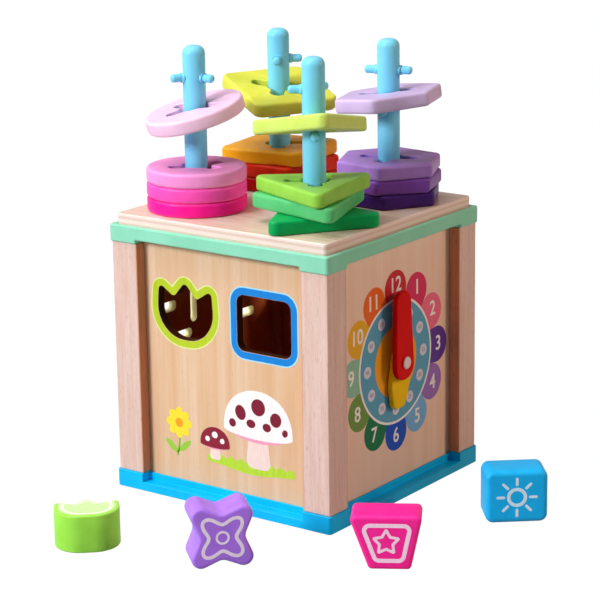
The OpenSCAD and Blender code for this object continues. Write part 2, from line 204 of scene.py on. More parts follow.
# The left and right panels are drawn paler and pinker, painted light that lifts the shaded right side, and
# the inner faces a deeper red-orange, painted shade for the closed box's dark inside. The posting holes are
# laser cut, which scorches their walls brown; the walls of the left panel's guide slots are a near-white
# cream, a painted highlight for the light through them. A face of a panel looks along the panel's own axis,
# a wall of a hole across it.
tree = panel_veneer.node_tree
shader = tree.nodes["Principled BSDF"]
outer = shader.inputs["Base Color"].links[0].from_socket
place = add(tree, "TexCoord").outputs["Object"]
from_middle = add(tree, "VectorMath", {0: place}, operation="ABSOLUTE")
axes = add(tree, "SeparateXYZ", {0: from_middle.outputs[0]})
normal = add(tree, "NewGeometry").outputs["Normal"]
unsigned = add(tree, "VectorMath", {0: normal}, operation="ABSOLUTE")
facing = add(tree, "SeparateXYZ", {0: unsigned.outputs[0]})
sideways = add(tree, "Math", {0: axes.outputs[0], 1: axes.outputs[1]}, operation="GREATER_THAN")
flat = add(tree, "Mix", {0: sideways.outputs[0], 2: facing.outputs[1], 3: facing.outputs[0]})
further = add(tree, "Math", {0: axes.outputs[0], 1: axes.outputs[1]}, operation="MAXIMUM")
face = add(tree, "MapRange", {"Value": flat.outputs[0], "From Min": 0.5, "From Max": 0.8})
out = add(tree, "MapRange", {
    "Value": further.outputs[0], "From Min": (PANEL_IN + 0.7) * MM, "From Max": (PANEL_IN + 1.3) * MM})
# Painted light: the left and right panels are lifted 40 % toward a pale pink.
painted_side_light = add(tree, "Math", {0: sideways.outputs[0], 1: 0.4}, operation="MULTIPLY")
veneer = add(tree, "Mix", {
    0: painted_side_light.outputs[0], 6: outer, 7: linear("#FFE6DC")}, data_type="RGBA")
# Painted shade: the inner faces take a deeper red-orange.
sawn = add(tree, "Mix", {
    0: out.outputs[0], 6: linear("#D87848"), 7: veneer.outputs[2]}, data_type="RGBA")
# Hole walls: scorched brown on the front and back panels; on the left and right a near-white cream, a
# painted highlight.
walls = add(tree, "Mix", {
    0: sideways.outputs[0], 6: linear("#43200F"), 7: linear("#FFF7BE")}, data_type="RGBA")
cut = add(tree, "Mix", {
    0: face.outputs[0], 6: walls.outputs[2], 7: sawn.outputs[2]}, data_type="RGBA")
wire(tree, shader, Base_Color=cut.outputs[2])
for side in ("front", "right", "back", "left"):
    softened(f"{side}_panel", f"panel_{side}", "box", 0.22, panel_veneer)

# Top ring: mint ABS, moulded like the base ring, screwed down on the post ends. Its rails close the
# gaps over the panels, and the recess in its top takes the lid.

ring_mint = moulded_abs("abs_satin_mint", "#8ED8BA", "#85D1B0", 0.36)
softened("top_frame", "top_ring", "box", 0.9, ring_mint)

# Screws: countersunk steel screws, zinc plated, through the rings into both ends of every post, and the
# spacer ring on the clock's spindle. The plating is a bluish grey with a fine tumbled haze.

zinc, tree, shader = finish("steel_zinc_plated", Metallic=1.0)
place = add(tree, "TexCoord").outputs["Object"]
haze = add(tree, "TexNoise", {"Vector": place, "Scale": 1000 / 0.7, "Detail": 4.0})
tone = add(tree, "Mix", {
    0: haze.outputs[0], 6: linear("#A9AEB4"), 7: linear("#D5D8DA")}, data_type="RGBA")
gloss = add(tree, "MapRange", {"Value": haze.outputs[0], "To Min": 0.24, "To Max": 0.42})
wire(tree, shader, Base_Color=tone.outputs[2], Roughness=gloss.outputs[0])
for node in ("base_screws", "top_screws", "spindle_washers"):
    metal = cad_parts[node].data.materials
    metal.clear()
    metal.append(zinc)

# Posting hole borders and front picture: screen-printed ink on the veneer, one colour after another.
# The bands follow the holes; below them is a plain garden picture with toadstools and a daisy.

INK_STEP = 0.03  # each printed colour lies this much higher than the one under it, in mm


def rounded(corners, radii, steps=10):
    """Closed outline with rounded corners: each corner becomes an arc of its radius that is tangent to
    both of its sides; the arc's centre lies on the bisector."""
    p = np.asarray(corners, float)
    r = np.broadcast_to(np.asarray(radii, float), len(p))[:, None]
    to_last, to_next = np.roll(p, 1, 0) - p, np.roll(p, -1, 0) - p
    u = to_last / np.linalg.norm(to_last, axis=1, keepdims=True)
    v = to_next / np.linalg.norm(to_next, axis=1, keepdims=True)
    half = np.arccos(np.clip((u * v).sum(1), -1, 1))[:, None] / 2
    centre = p + (u + v) / np.linalg.norm(u + v, axis=1, keepdims=True) * r / np.sin(half)
    first, last = p + u * r / np.tan(half) - centre, p + v * r / np.tan(half) - centre
    start = np.arctan2(first[:, 1], first[:, 0])
    sweep = (np.arctan2(last[:, 1], last[:, 0]) - start + np.pi) % (2 * np.pi) - np.pi
    turn = start[:, None] + sweep[:, None] * np.linspace(0, 1, steps + 1)
    arc = centre[:, None] + r[:, None] * np.stack([np.cos(turn), np.sin(turn)], -1)
    return arc.reshape(-1, 2)


def widened(corners, radii, by):
    """Corners and radii of the outline that runs a distance outside: every side moves out along its
    normal, round corners grow by the distance and hollow ones shrink."""
    p = np.asarray(corners, float)
    r = np.broadcast_to(np.asarray(radii, float), len(p))
    side = np.roll(p, -1, 0) - p
    out = np.stack([side[:, 1], -side[:, 0]], 1) / np.linalg.norm(side, axis=1, keepdims=True)
    before = np.roll(out, 1, 0)
    bend = before[:, 0] * out[:, 1] - before[:, 1] * out[:, 0]
    moved = p + by * (before + out) / (1 + (before * out).sum(1))[:, None]
    return moved, np.maximum(np.where(bend > 0, r + by, r - by), 0.5)


def strips(rows, n, closed=False):
    """Quads between neighbouring rows, each a loop of n points: point k and k + 1 of a row with those of
    the next one; closed also joins the last row to the first."""
    row, k = (np.arange(rows if closed else rows - 1) * n)[:, None], np.arange(n)
    above, j = (row + n) % (rows * n), (k + 1) % n
    return np.stack([row + k, row + j, above + j, above + k], -1).reshape(-1, 4).tolist()


def capped(rows, n):
    """The same quads, with one face over the first row and one over the last."""
    k = np.arange(n)
    return strips(rows, n) + [k[::-1].tolist(), (k + (rows - 1) * n).tolist()]


def sheet(outline, top):
    """A flat printed shape: the outline at height 0 and at the top, with side quads and two end faces."""
    n = len(outline)
    return np.vstack([np.column_stack([outline, np.full(n, z)]) for z in (0, top)]), capped(2, n)


def band(outer, inner, top):
    """A flat printed band: four loops (outer low, outer high, inner high, inner low) joined by quads;
    outer and inner have the same number of points."""
    n = len(outer)
    loops = ((outer, 0), (outer, top), (inner, top), (inner, 0))
    return np.vstack([np.column_stack([line, np.full(n, z)]) for line, z in loops]), strips(4, n, True)


def stroke(path, width):
    """Outline of a brush stroke: the path moved half a width to both sides, with half-round ends."""
    path = np.asarray(path, float)
    step = np.gradient(path, axis=0)
    step /= np.linalg.norm(step, axis=1, keepdims=True)
    side = np.column_stack([step[:, 1], -step[:, 0]]) * width / 2
    turn = np.linspace(0, np.pi, 9)[1:-1, None]
    end = path[-1] + np.cos(turn) * side[-1] + np.sin(turn) * step[-1] * width / 2
    start = path[0] - np.cos(turn) * side[0] - np.sin(turn) * step[0] * width / 2
    return np.vstack([path + side, end, (path - side)[::-1], start])


def oval(x, y, wide, high, tilt=0.0, n=48):
    """Ellipse round (x, y) with half axes wide and high, turned by tilt degrees."""
    t, a = np.linspace(0, 2 * np.pi, n, endpoint=False), np.radians(tilt)
    e = np.column_stack([wide * np.cos(t), high * np.sin(t)])
    return e @ np.array([[np.cos(a), np.sin(a)], [-np.sin(a), np.cos(a)]]) + (x, y)


def joined(parts):
    """Parts (points, faces) as one: the points in one array, the faces counted on from part to part."""
    points, faces = zip(*parts)
    starts = np.cumsum([0] + [len(p) for p in points[:-1]]).tolist()
    return np.vstack(points), [[k + start for k in f] for start, some in zip(starts, faces) for f in some]


def printed(name, parts, place, body):
    """One printed picture: its parts (points, faces, colour), in the picture's own millimetres, joined to
    a mesh that carries the colours as its ink attribute; place maps (right, up, out) to the frame."""
    points, faces = joined([part[:2] for part in parts])
    inks = np.vstack([np.tile(linear(colour), (len(dots), 1)) for dots, _, colour in parts])
    mesh = bpy.data.meshes.new(name)
    mesh.from_pydata(place(points) * MM, [], faces)
    ink = mesh.attributes.new("ink", "FLOAT_COLOR", "POINT")
    ink.data.foreach_set("color", inks.astype(np.float32).ravel())
    mesh.materials.append(screen_ink)
    placed(name, mesh, body)


# Screen ink: a matt opaque film that lets a little of the grain's unevenness through.
screen_ink, tree, shader = finish("screen_ink_matt", IOR=1.48, Specular_IOR_Level=0.15)
ink = add(tree, "Attribute", attribute_name="ink")
place = add(tree, "TexCoord").outputs["Object"]
weave = add(tree, "Mapping", {"Vector": place, "Scale": (1000 / 0.8, 1000 / 0.8, 1000 / 9)})
mottle = add(tree, "TexNoise", {"Vector": weave.outputs[0], "Scale": 1.0, "Detail": 3.0})
level = add(tree, "MapRange", {
    "Value": mottle.outputs[0], "From Min": 0.3, "From Max": 0.7, "To Min": 0.93, "To Max": 1.04})
tint = add(tree, "HueSaturation", {"Value": level.outputs[0], "Color": ink.outputs["Color"]})
gloss = add(tree, "MapRange", {"Value": mottle.outputs[0], "To Min": 0.36, "To Max": 0.52})
relief = add(tree, "Bump", {"Height": mottle.outputs[0], "Strength": 0.1, "Distance": 0.06 * MM})
wire(tree, shader, Base_Color=tint.outputs[0], Roughness=gloss.outputs[0], Normal=relief.outputs[0])

# Outlines as corners and their radii, anticlockwise; a hole is its outline times HOLE_PLAY.
HOLE_PLAY = 1.09
HOLE_Z = 97.6  # middle of every posting hole
TULIP_HOLE = (np.array([(-17.3, -13.3), (17.3, -13.3), (15.3, 12.3), (6.6, 6.6), (0, 14.3), (-6.6, 6.6),
                        (-15.3, 12.3)]), np.array([14.6, 14.6, 1.8, 2.2, 2, 2.2, 1.8]))
SQUARE_HOLE = (np.array([(-15.25, -13.25), (15.25, -13.25), (15.25, 13.25), (-15.25, 13.25)]),
               np.array([4.0] * 4))
BUTTERFLY = (np.array([(-19.1, -19.3), (0, -11.2), (19.1, -19.3), (10.9, 0), (19.1, 19.3), (0, 11.2),
                       (-19.1, 19.3), (-10.9, 0)]), np.array([4.7, 5.0] * 4))
TRAPEZOID = (np.array([(-9.9, -13.3), (9.9, -13.3), (15.6, 13.3), (-19.6, 13.3)]),
             np.array([2.2, 2.2, 2.6, 2.6]))


def hole_border(shape, x, width, colour, halo):
    """Printed band round a posting hole: a pale underprint and, on it, the band of the given width."""
    hole = shape[0] * HOLE_PLAY, shape[1] * HOLE_PLAY
    start, stop, pale_stop = [rounded(*widened(*hole, by)) + (x, HOLE_Z) for by in (0.2, width, width + 0.7)]
    return [(*band(pale_stop, start, INK_STEP), halo), (*band(stop, start, 2 * INK_STEP), colour)]


def daisy(x, z, petals, reach, petal_wide, colour, heart):
    """Ring of oval petals round a heart; petal k points to its share of the full turn."""
    turn = np.arange(petals) * 360 / petals
    mid = reach * 0.55
    parts = [(*sheet(oval(x + mid * np.cos(np.radians(a)), z + mid * np.sin(np.radians(a)), reach * 0.46,
                          petal_wide, a), (1.5 + k % 2 * 0.5) * INK_STEP), colour)
             for k, a in enumerate(turn)]
    return parts + [(*sheet(oval(x, z, reach * 0.3, reach * 0.3), 3 * INK_STEP), heart)]


def toadstool(x, foot, stem_wide, stem_high, cap_wide, cap_high, cap, under, stem, spots, spot_colour):
    """Toadstool: a stem that widens to its foot, a half-oval cap with a lip under it, and oval spots."""
    top = foot + stem_high
    trunk = rounded([(x - stem_wide * 0.62, foot), (x + stem_wide * 0.62, foot), (x + stem_wide * 0.42, top),
                     (x - stem_wide * 0.42, top)], [stem_wide * 0.3, stem_wide * 0.3, 0.6, 0.6])
    lip = oval(x, top, cap_wide * 0.82, cap_high * 0.24)
    t = np.linspace(0, np.pi, 40)
    dome = np.vstack([np.column_stack([x + cap_wide * np.cos(t), top + cap_high * np.sin(t) ** 0.85]),
                      np.column_stack([x - cap_wide * np.cos(t), top - cap_high * 0.16 * np.sin(t)])[1:-1]])
    parts = [(*sheet(trunk, 2 * INK_STEP), stem), (*sheet(lip, 3 * INK_STEP), under),
             (*sheet(dome, 4 * INK_STEP), cap)]
    return parts + [(*sheet(oval(x + cap_wide * a, top + cap_high * b, cap_wide * c, cap_high * d, e),
                            5 * INK_STEP), spot_colour) for a, b, c, d, e in spots]


def on_front(points):
    """Picture coordinates on the front panel: right is +X, up is +Z, out is -Y."""
    return np.column_stack([points[:, 0], -PANEL_OUT - points[:, 2], points[:, 1]])


def on_back(points):
    """Picture coordinates on the back panel: right is -X, up is +Z, out is +Y."""
    return np.column_stack([-points[:, 0], PANEL_OUT + points[:, 2], points[:, 1]])


t = np.linspace(0, 1, 60)
lawn = np.vstack([np.column_stack([-14 + 56 * t, 24.6 + 1.6 * np.sin(9 * np.pi * t) ** 2]),
                  np.column_stack([42 - 56 * t, 20.2 + 1.2 * np.cos(2 * np.pi * t)])[1:-1]])[::-1]
garden = [(*sheet(lawn, INK_STEP), "#B7DB3C")]
garden += toadstool(19, 22.6, 13, 19, 21.5, 22, "#F8F4F1", "#F2A0BC", "#F3D9CF", [
    (0.02, 0.62, 0.2, 0.2, 0), (-0.5, 0.42, 0.15, 0.18, 20), (0.52, 0.4, 0.16, 0.17, -20),
    (-0.2, 0.2, 0.13, 0.1, 0), (0.26, 0.18, 0.12, 0.1, 0), (-0.74, 0.14, 0.1, 0.1, 30),
    (0.78, 0.13, 0.08, 0.09, -30)], "#7E1F35")
garden += toadstool(-8.5, 22.8, 6.0, 7.6, 9.4, 9.6, "#8C2438", "#F2A0BC", "#F3D9CF", [
    (0.0, 0.58, 0.2, 0.18, 0), (-0.5, 0.3, 0.15, 0.15, 20), (0.5, 0.3, 0.15, 0.15, -20)], "#F8F4F1")
stem = np.column_stack([-33 + 1.6 * np.sin(2.2 * t), 21 + 15 * t])
garden += [(*sheet(stroke(stem, 1.2), INK_STEP), "#7FB53A"),
           (*sheet(oval(-36.6, 25.4, 5.0, 1.7, -38), INK_STEP), "#9CCB45"),
           (*sheet(oval(-28.2, 26.4, 5.0, 1.7, 40), INK_STEP), "#9CCB45")]
garden += daisy(-31.6, 38.5, 8, 8.2, 2.5, "#F7DF3A", "#F0A32A")
borders = hole_border(TULIP_HOLE, -25.6, 3.7, "#B6CE2C", "#E2EC9A")
borders += hole_border(SQUARE_HOLE, 23.8, 3.8, "#1A84D6", "#A9E3F7")
printed("front_print", borders + garden, on_front, "box")
borders = hole_border(BUTTERFLY, -25.8, 4.0, "#9A62CC", "#D9C2EE")
borders += hole_border(TRAPEZOID, 26.3, 4.0, "#FF4FA8", "#FFC6E2")
printed("back_print", borders, on_back, "box")

# Dial: printed on the right panel round the clock spindle. Twelve round petals carry the hours, a white
# ring closes the field, twelve pale dots carry the minutes, and a sunny disc lies under the hands.

CLOCK_Z = 71.5  # height of the spindle
DIAL = np.array([1.2, 70.9])  # middle of the print, a little off the spindle
HOUR_R, MINUTE_R = 39.6, 25.4  # circles on which the numbers stand
NUMERAL_SIZE = 1.38  # the font's size over the height of its figures
DIAL_WHITE = "#F6F3F0"
PETALS = ("#C8202C", "#D62C5C", "#EC6F8C", "#5C3694", "#9A70BE", "#78B4E4",
          "#1450C4", "#0B7442", "#6F9640", "#8CC0A4", "#E6AE1E", "#EA6B22")


def numeral(text, high, bold, at, top):
    """A number from Blender's own font as a mesh: filled outlines, thickened, then moved to its place."""
    curve = bpy.data.curves.new("numeral", "FONT")
    curve.body, curve.size, curve.offset = text, high * NUMERAL_SIZE, bold
    curve.align_x, curve.align_y = "CENTER", "CENTER"
    curve.extrude = top / 2
    holder = bpy.data.objects.new("numeral", curve)
    mesh = bpy.data.meshes.new_from_object(holder)
    points = np.zeros(len(mesh.vertices) * 3)
    mesh.vertices.foreach_get("co", points)
    faces = [list(face.vertices) for face in mesh.polygons]
    bpy.data.objects.remove(holder)
    bpy.data.curves.remove(curve)
    bpy.data.meshes.remove(mesh)
    return points.reshape(-1, 3) + (*at, top / 2), faces


def on_right(points):
    """Picture coordinates on the right panel: right is +Y, up is +Z, out is +X."""
    return np.column_stack([PANEL_OUT + points[:, 2], points[:, 0], points[:, 1]])


petal = rounded([(-8.3, 27), (8.3, 27), (10.9, 47.4), (-10.9, 47.4)], [1, 1, 9.3, 9.3])
dial = []
for hour, colour in enumerate(PETALS):
    a = np.radians(30 * hour)
    spin = np.array([[np.cos(a), -np.sin(a)], [np.sin(a), np.cos(a)]])
    out = np.array([np.sin(a), np.cos(a)])
    on_petal, on_ring = DIAL + HOUR_R * out, DIAL + MINUTE_R * out
    dial += [(*sheet(petal @ spin + DIAL, INK_STEP * (1 + hour % 2 * 0.5)), colour),
             (*numeral(str(hour or 12), 7.9, 0.16, on_petal, INK_STEP * 3), DIAL_WHITE),
             (*sheet(oval(*on_ring, 3.1, 3.1), INK_STEP * 4), "#D6D8E6"),
             (*numeral(str(hour * 5 or 60), 2.2, 0.03, on_ring, INK_STEP * 5), "#8E8A94")]
DISCS = ((32.9, 120, DIAL_WHITE), (31.6, 120, "#5CA4C2"), (18.8, 90, "#F4A51E"))  # radius, points, colour
for over, (reach, n, colour) in enumerate(DISCS, 2):
    dial.append((*sheet(oval(*DIAL, reach, reach, n=n), INK_STEP * over), colour))
printed("dial_face", dial, on_right, "box")

# Clock spindle: a white moulded rivet through the right panel, with a flat head inside and a low
# dimpled cap outside, on which both hands turn with friction.


def closed_turning(profile, turns):
    """Surface of revolution: profile (radius, height) from pole to pole, turned about the height axis;
    point (i, k) is profile point i at angle k of the full turn."""
    r, h = np.asarray(profile, float).T
    a = np.linspace(0, 2 * np.pi, turns, endpoint=False)
    ring, rise = r[1:-1, None], np.repeat(h[1:-1, None], turns, 1)
    grid = np.stack([ring * np.cos(a), ring * np.sin(a), rise], -1)
    points = np.vstack([grid.reshape(-1, 3), [[0, 0, h[0]], [0, 0, h[-1]]]])
    rows, k = len(r) - 2, np.arange(turns)
    n = (k + 1) % turns
    pole, last = np.full(turns, rows * turns), (rows - 1) * turns
    fans = np.vstack([np.column_stack([pole, n, k]), np.column_stack([pole + 1, last + k, last + n])])
    return points, strips(rows, turns) + fans.tolist()


def solid(name, parts, material, body, node, edge=None):
    """A finished piece in the place of a CAD node: the parts (points in mm, faces) joined to one smooth
    mesh; edge says how close each point is to a rounded edge, where the finish wears and a painted highlight
    lightens it."""
    points, faces = joined(parts)
    mesh = bpy.data.meshes.new(name)
    mesh.from_pydata(points * MM, [], faces)
    mesh.shade_smooth()
    edge_wear_and_highlight = mesh.attributes.new("edge", "FLOAT", "POINT")
    edge_wear_and_highlight.data.foreach_set("value", (np.zeros(len(points)) if edge is None else edge).astype(np.float32))
    mesh.materials.append(material)
    piece = placed(name, mesh, body)
    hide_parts(node)


def quarter(radius, height, bend, start, stop, steps=6):
    """Part of a profile: an arc of radius bend round (radius, height) from angle start to stop."""
    a = np.radians(np.linspace(start, stop, steps))
    return np.column_stack([radius + bend * np.cos(a), height + bend * np.sin(a)])


cap_white = moulded_abs("abs_satin_white", "#F1DEDC", "#E8D2D0", 0.3)
# Radius and place along X: the head inside the panel, the shaft, and the cap with its dimple
rivet = np.vstack([[(0, 52.5)], quarter(4.1, 52.9, 0.4, -90, 0), [(4.5, 55.3), (4.3, 55.5), (2, 55.5)],
                   [(2, 67.8), (2.1, 67.9), (2.9, 67.9)], quarter(3, 68.1, 0.2, -80, 0),
                   quarter(2.6, 68.1, 0.6, 12, 85), [(1.5, 68.7), (1.1, 68.6), (0.7, 68.4), (0, 68.35)]])
points, faces = closed_turning(rivet, 48)
points = np.column_stack([points[:, 2], points[:, 0], points[:, 1] + CLOCK_Z])
solid("spindle_rivet", [(points, faces)], cap_white, "box", "clock_spindle")

# Clock hands: 3 mm hardboard cut to shape, with rounded edges and satin lacquer. The yellow hour hand
# is short and blunt, the red minute hand is a long paddle over it.


def lacquered(name, colour, shade, edge_wear_and_highlight, roughness, shine=0.12):
    """Satin lacquer on wood: a dense colour with slight brush clouds about 9 mm across, the wood's fine
    ribs 0.6 mm apart in the gloss, and rounded edges lighter in patches, partly a thin worn coat and partly
    a painted highlight."""
    material, tree, shader = finish(name, IOR=1.5, Specular_IOR_Level=shine)
    place = add(tree, "TexCoord").outputs["Object"]
    clouds = add(tree, "TexNoise", {"Vector": place, "Scale": 1000 / 9, "Detail": 3.0})
    dense = add(tree, "MapRange", {"Value": clouds.outputs[0], "From Min": 0.3, "From Max": 0.7})
    base = add(tree, "Mix", {
        0: dense.outputs[0], 6: linear(shade), 7: linear(colour)}, data_type="RGBA")
    edge = add(tree, "Attribute", attribute_name="edge")
    edge_patches = add(tree, "TexNoise", {"Vector": place, "Scale": 1000 / 6, "Detail": 2.0})
    rub_and_highlight = add(tree, "MapRange", {
        "Value": edge_patches.outputs[0], "From Min": 0.2, "From Max": 0.8, "To Max": 0.35})
    thin = add(tree, "Math", {0: edge.outputs["Fac"], 1: rub_and_highlight.outputs[0]}, operation="MULTIPLY")
    # Painted highlight with some wear: the edge tone is mixed in along rounded edges.
    coat = add(tree, "Mix", {
        0: thin.outputs[0], 6: base.outputs[2], 7: linear(edge_wear_and_highlight)}, data_type="RGBA")
    ribs_at = add(tree, "Mapping", {"Vector": place, "Scale": (1000 / 14, 1000 / 0.6, 1000 / 0.6)})
    ribs = add(tree, "TexNoise", {"Vector": ribs_at.outputs[0], "Scale": 1.0, "Detail": 2.0})
    gloss = add(tree, "MapRange", {
        "Value": ribs.outputs[0], "To Min": roughness - 0.06, "To Max": roughness + 0.08})
    relief = add(tree, "Bump", {"Height": ribs.outputs[0], "Strength": 0.09, "Distance": 0.1 * MM})
    wire(tree, shader, Base_Color=coat.outputs[2], Roughness=gloss.outputs[0], Normal=relief.outputs[0])
    return material


def spaced(outline, count):
    """The same closed outline with count points at equal distances along it."""
    loop = np.vstack([outline, outline[:1]])
    along = np.concatenate([[0], np.cumsum(np.linalg.norm(np.diff(loop, axis=0), axis=1))])
    at = np.linspace(0, along[-1], count, endpoint=False)
    return np.column_stack([np.interp(at, along, loop[:, k]) for k in (0, 1)])


def outward(outline):
    """Unit normals of a closed outline that runs anticlockwise, from its neighbouring points."""
    step = np.roll(outline, -1, 0) - np.roll(outline, 1, 0)
    return np.column_stack([step[:, 1], -step[:, 0]]) / np.linalg.norm(step, axis=1, keepdims=True)


def edge_rows(low, high, bend, steps=5):
    """Rows (inset, height, edge) of a plate's rim from the bottom face up: a support row on the flat,
    a quarter round, the straight side, a quarter round and a support row."""
    a = np.radians(np.linspace(-90, 0, steps))
    under = np.column_stack([bend * (1 - np.cos(a)), low + bend * (1 + np.sin(a)), np.sin(-2 * a)])
    over = np.column_stack([under[::-1, 0], low + high - under[::-1, 1], under[::-1, 2]])
    flat = bend + 0.35  # where the support rows lie
    return np.vstack([[(flat, low, 0)], under, over, [(flat, high, 0)]])


def pierced_plate(outer, inner, low, high, bend, hole_bend):
    """Plate with a hole: the section (up the outer rim, across the top, down the hole's wall, back under
    the plate) carried round both outlines; column k joins outer point k with inner point k."""
    rim, wall = edge_rows(low, high, bend), edge_rows(low, high, hole_bend)[::-1]
    rows = np.vstack([outer[None] - outward(outer)[None] * rim[:, 0, None, None],
                      inner[None] + outward(inner)[None] * wall[:, 0, None, None]])
    _, heights, edge = np.vstack([rim, wall]).T
    n = len(outer)
    points = np.dstack([rows, np.repeat(heights[:, None], n, 1)]).reshape(-1, 3)
    return points, strips(len(heights), n, True), np.repeat(edge, n)


HAND_T, BORE_R = 3.0, 2.05  # thickness of the hands, and radius of their hole
# CAD node, piece, corners and radii round the spindle, turn in degrees, place of the inner face, coat
HANDS = (
    ("hour_hand", "hand_yellow", [(-6, -6.5), (4.4, -6.5), (7.5, 12), (4.9, 24.6), (-5.2, 24.6), (-9.4, 12)],
     [4.6, 4.6, 8, 4.2, 4.2, 8], 178, 61.3, ("#F6CC08", "#EEC004", "#F8DC60")),
    ("minute_hand", "hand_red", [(-9.2, -9), (8, -9), (6.4, 37.2), (-6.2, 37.2)], [7.8, 7.8, 5.4, 5.4], 2.4,
     64.6, ("#DE0803", "#D20502", "#E02014")))
for node, name, corners, radii, turn, x, colours in HANDS:
    rim = spaced(rounded(corners, radii), 260)
    bore = BORE_R * rim / np.linalg.norm(rim, axis=1, keepdims=True)
    points, faces, edge = pierced_plate(rim, bore, 0, HAND_T, 0.7, 0.15)
    a = np.radians(turn)
    y = points[:, 0] * np.cos(a) - points[:, 1] * np.sin(a)
    z = points[:, 0] * np.sin(a) + points[:, 1] * np.cos(a)
    points = np.column_stack([x + points[:, 2], y, z + CLOCK_Z])
    coat = lacquered(f"lacquer_satin_{name}", *colours, 0.32, 0.04)
    solid(name, [(points, faces)], coat, node, node, edge)

# Lid: 8 mm birch plywood that rests in the top ring's recess. Its face is pale and clear lacquered, and
# its sawn edge shows the plies, light and brown in turn.

LID_LOW, LID_TOP, PLY = 137.5, 145.5, 1.6  # underside and top of the lid, and one of its five plies
lid_ply, tree, shader = finish("birch_plywood_lacquered", IOR=1.5, Specular_IOR_Level=0.4)
place = add(tree, "TexCoord").outputs["Object"]
axes = add(tree, "SeparateXYZ", {0: place})
grain = add(tree, "Mapping", {"Vector": place, "Scale": (1000 / 60, 1000 / 2.6, 1000 / 2.6)})
streak = add(tree, "TexNoise", {"Vector": grain.outputs[0], "Scale": 1.0, "Detail": 4.0})
wide = add(tree, "MapRange", {"Value": streak.outputs[0], "From Min": 0.32, "From Max": 0.68})
face = add(tree, "Mix", {
    0: wide.outputs[0], 6: linear("#DCBEA6"), 7: linear("#EAD4C2")}, data_type="RGBA")
wash = add(tree, "TexNoise", {"Vector": place, "Scale": 1000 / 30, "Detail": 1.0})
bright = add(tree, "MapRange", {
    "Value": wash.outputs[0], "From Min": 0.5, "From Max": 0.66, "To Max": 0.5})
washed = add(tree, "Mix", {
    0: bright.outputs[0], 6: face.outputs[2], 7: linear("#F6F1EC")}, data_type="RGBA")
# Plies: the height over the lid's underside, with a ripple of half a millimetre, counted in pairs of plies.
ripple = add(tree, "TexNoise", {"Vector": place, "Scale": 1000 / 20, "Detail": 2.0})
wavy = add(tree, "Math", {
    0: ripple.outputs[0], 1: 0.5 * MM, 2: -(LID_LOW + 0.25) * MM}, operation="MULTIPLY_ADD")
height = add(tree, "Math", {0: axes.outputs[2], 1: wavy.outputs[0]}, operation="ADD")
pairs = add(tree, "Math", {0: height.outputs[0], 1: 1000 / (2 * PLY)}, operation="MULTIPLY")
share = add(tree, "Math", {0: pairs.outputs[0]}, operation="FRACT")
brown = add(tree, "MapRange", {
    "Value": share.outputs[0], "From Min": 0.52, "From Max": 0.66, "To Max": 0.8})
pores = add(tree, "TexNoise", {"Vector": place, "Scale": 1000 / 0.9, "Detail": 2.0})
open_pores = add(tree, "MapRange", {"Value": pores.outputs[0], "To Min": 0.45, "To Max": 1.0})
cross = add(tree, "Math", {0: brown.outputs[0], 1: open_pores.outputs[0]}, operation="MULTIPLY")
plies = add(tree, "Mix", {
    0: cross.outputs[0], 6: linear("#EBD5CC"), 7: linear("#D4B2A2")}, data_type="RGBA")
normal = add(tree, "NewGeometry").outputs["Normal"]
up = add(tree, "SeparateXYZ", {0: normal})
steep = add(tree, "Math", {0: up.outputs[2]}, operation="ABSOLUTE")
flat = add(tree, "MapRange", {"Value": steep.outputs[0], "From Min": 0.55, "From Max": 0.9})
wood = add(tree, "Mix", {
    0: flat.outputs[0], 6: plies.outputs[2], 7: washed.outputs[2]}, data_type="RGBA")
gloss = add(tree, "MapRange", {"Value": streak.outputs[0], "To Min": 0.16, "To Max": 0.3})
relief = add(tree, "Bump", {"Height": streak.outputs[0], "Strength": 0.12, "Distance": 0.1 * MM})
wire(tree, shader, Base_Color=wood.outputs[2], Roughness=gloss.outputs[0], Normal=relief.outputs[0])
softened("lid_board", "lid", "lid", 0.9, lid_ply)

# Pegs and pins: four dowels with rounded tops, glued into the lid. Each has three short pins with round
# ends, two near the top and one lower down, which only pieces with slots in line can pass.

PEG_TOP, PEG_R, TENON_R, PIN_R, PIN_REACH = 229.0, 5.75, 3.95, 2.1, 12.5
UPPER_PIN_Z = LID_TOP + 67.5
# Each peg's place, the directions of its two upper pins and of its lower one, and the lower one's height
STACKS = {
    "disc": dict(at=(-36.3, -35.1), upper=(-122, -2), lower=71, lower_h=44.7),
    "square": dict(at=(-35.3, 34.7), upper=(-59, 41), lower=128, lower_h=45.3),
    "triangle": dict(at=(36.5, -33.8), upper=(-146, 96), lower=-52, lower_h=45.7),
    "hexagon": dict(at=(34.8, 34.0), upper=(-161, 19), lower=-76, lower_h=46.7)}
# Sprayed lacquer has the mouldings' even colour and pebbled skin, with more gloss.
peg_blue = moulded_abs("lacquer_gloss_sky_blue", "#80D8F6", "#75D1F1", 0.26)
dowel = np.vstack([[(0, LID_LOW + 0.2), (TENON_R - 0.25, LID_LOW + 0.2), (TENON_R, LID_LOW + 0.5)],
                   [(TENON_R, LID_TOP), (PEG_R, LID_TOP), (PEG_R, LID_TOP + 1)],
                   np.column_stack([np.full(20, PEG_R), np.linspace(LID_TOP + 4, PEG_TOP - 5, 20)]),
                   quarter(PEG_R - 4, PEG_TOP - 4, 4, 0, 86, 14), [(0, PEG_TOP)]])
pin = np.vstack([[(0, 4.5), (2.5, 4.5), (2.5, 5.6)], quarter(2.9, 6.3, -0.8, -60, 0),
                 [(PIN_R, 7), (PIN_R, 8.6)], quarter(PIN_R - 1.6, PIN_REACH - 1.6, 1.6, 0, 86, 9),
                 [(0, PIN_REACH)]])
dowel_points, dowel_faces = closed_turning(dowel, 72)
pin_points, pin_faces = closed_turning(pin, 32)
